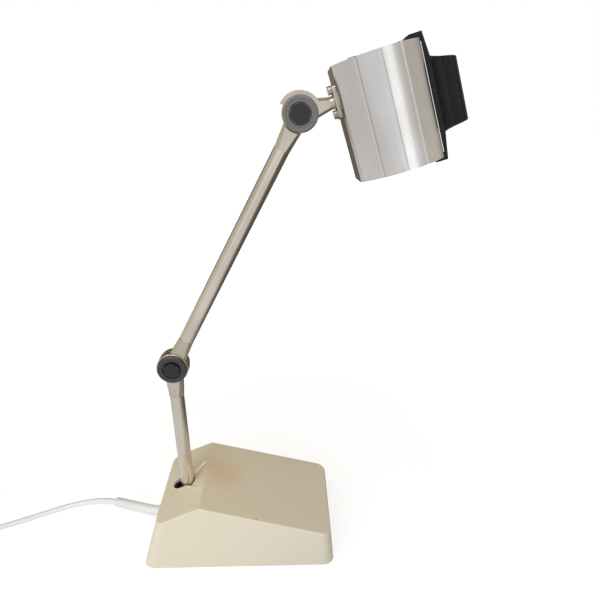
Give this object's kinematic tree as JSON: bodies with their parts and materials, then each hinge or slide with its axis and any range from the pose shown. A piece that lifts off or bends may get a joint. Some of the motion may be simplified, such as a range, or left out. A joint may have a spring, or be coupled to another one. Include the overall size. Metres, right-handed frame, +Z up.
{
  "type": "desk lamp",
  "caption": "Jointed low-voltage desk lamp with a wedge base, two tube arms, lap knuckles and a swivelling extruded head with a grip.",
  "frame": {"origin": "middle of the base's footprint, on the surface the lamp stands on", "axes": "+X towards the base's low end, +Y to the back, +Z up; the arm joints turn about Y"},
  "size_m": [0.513, 0.1615, 0.4272],
  "materials": {
    "cream": "moulded, softly glossy, cream",
    "zinc_steel": "zinc plated",
    "rubber_pad": "matt black, non-slip",
    "core_steel": "lacquered laminations",
    "coil_wrap": "yellow tape over copper winding",
    "terminal_plastic": "natural nylon",
    "brass": "bright",
    "black_plastic": "fine grained",
    "nickel_tube": "satin nickel plate",
    "nickel_cast": "satin nickel plate over castings",
    "black_bolt": "blackened",
    "cover_plastic": "dark grey, slightly satin",
    "friction_fibre": "pressed fibre",
    "shell_aluminium": "satin anodised extrusion",
    "lens_glass": "clear",
    "reflector_coat": "dichroic coating",
    "lamp_ceramic": "unglazed",
    "white_cord": "soft white sheath"
  },
  "bodies": {
    "base": {"base_housing": "cream", "base_plate": "zinc_steel", "base_pad": "rubber_pad", "plate_screws": "zinc_steel", "transformer_core": "core_steel", "transformer_coil": "coil_wrap", "transformer_spacers": "zinc_steel", "transformer_bolts": "zinc_steel", "terminal_block": "terminal_plastic", "terminal_screws": "brass", "switch_body": "black_plastic", "switch_tabs": "brass", "arm_bracket": "zinc_steel", "bracket_rivets": "zinc_steel", "pivot_bolt": "zinc_steel", "pivot_nut": "zinc_steel", "pivot_washers": "zinc_steel", "cord_sleeve": "white_cord", "mains_cord": "white_cord", "cord_coil": "white_cord", "plug_body": "white_cord", "plug_pins": "brass", "inner_wires": "white_cord"},
    "rocker": {"switch_rocker": "black_plastic"},
    "lower_arm": {"lower_tube": "nickel_tube", "pivot_bush": "nickel_cast", "elbow_front_eye": "nickel_cast", "elbow_bolt": "black_bolt", "elbow_nut": "zinc_steel", "elbow_front_cover": "cover_plastic"},
    "upper_arm": {"upper_tube": "nickel_tube", "elbow_rear_eye": "nickel_cast", "elbow_friction_disc": "friction_fibre", "elbow_rear_cover": "cover_plastic", "wrist_rear_eye": "nickel_cast", "wrist_friction_disc": "friction_fibre", "wrist_rear_cover": "cover_plastic"},
    "neck": {"wrist_front_eye": "nickel_cast", "wrist_bolt": "black_bolt", "wrist_nut": "zinc_steel", "wrist_front_cover": "cover_plastic", "swivel_spindle": "zinc_steel"},
    "head": {"head_shell": "shell_aluminium", "channel_clips": "shell_aluminium", "head_bracket": "nickel_cast", "head_bracket_screws": "zinc_steel", "head_bracket_nuts": "zinc_steel", "swivel_washer": "zinc_steel", "vent_cap": "black_plastic", "holder_plate": "zinc_steel", "lamp_bezel": "black_plastic", "cover_glass": "lens_glass", "head_screws": "zinc_steel", "lamp_reflector": "reflector_coat", "lamp_base": "lamp_ceramic", "lamp_capsule": "lens_glass", "lamp_holder": "lamp_ceramic", "heat_strip": "shell_aluminium", "head_grip": "black_plastic", "grip_screws": "zinc_steel"}
  },
  "joints": [
    {"name": "base_tilt", "type": "hinge", "parent": "base", "child": "lower_arm", "pos_m": [-0.0487, 0, 0.022], "axis": [0, 1, 0], "range_deg": [-12, 1]},
    {"name": "elbow", "type": "hinge", "parent": "lower_arm", "child": "upper_arm", "pos_m": [-0.05133, 0, 0.17598], "axis": [0, 1, 0], "range_deg": [-100, 65]},
    {"name": "wrist", "type": "hinge", "parent": "upper_arm", "child": "neck", "pos_m": [0.055, 0, 0.37596], "axis": [0, 1, 0], "range_deg": [-50, 58]},
    {"name": "head_swivel", "type": "hinge", "parent": "neck", "child": "head", "pos_m": [0.055, 0, 0.37596], "axis": [0.9571, 0, 0.2899], "range_deg": [-90, 90]},
    {"name": "rocker_press", "type": "hinge", "parent": "base", "child": "rocker", "pos_m": [0.07898, 0, 0.01568], "axis": [-0.0892, 0, 0.996], "range_deg": [-14, 0]}
  ]
}
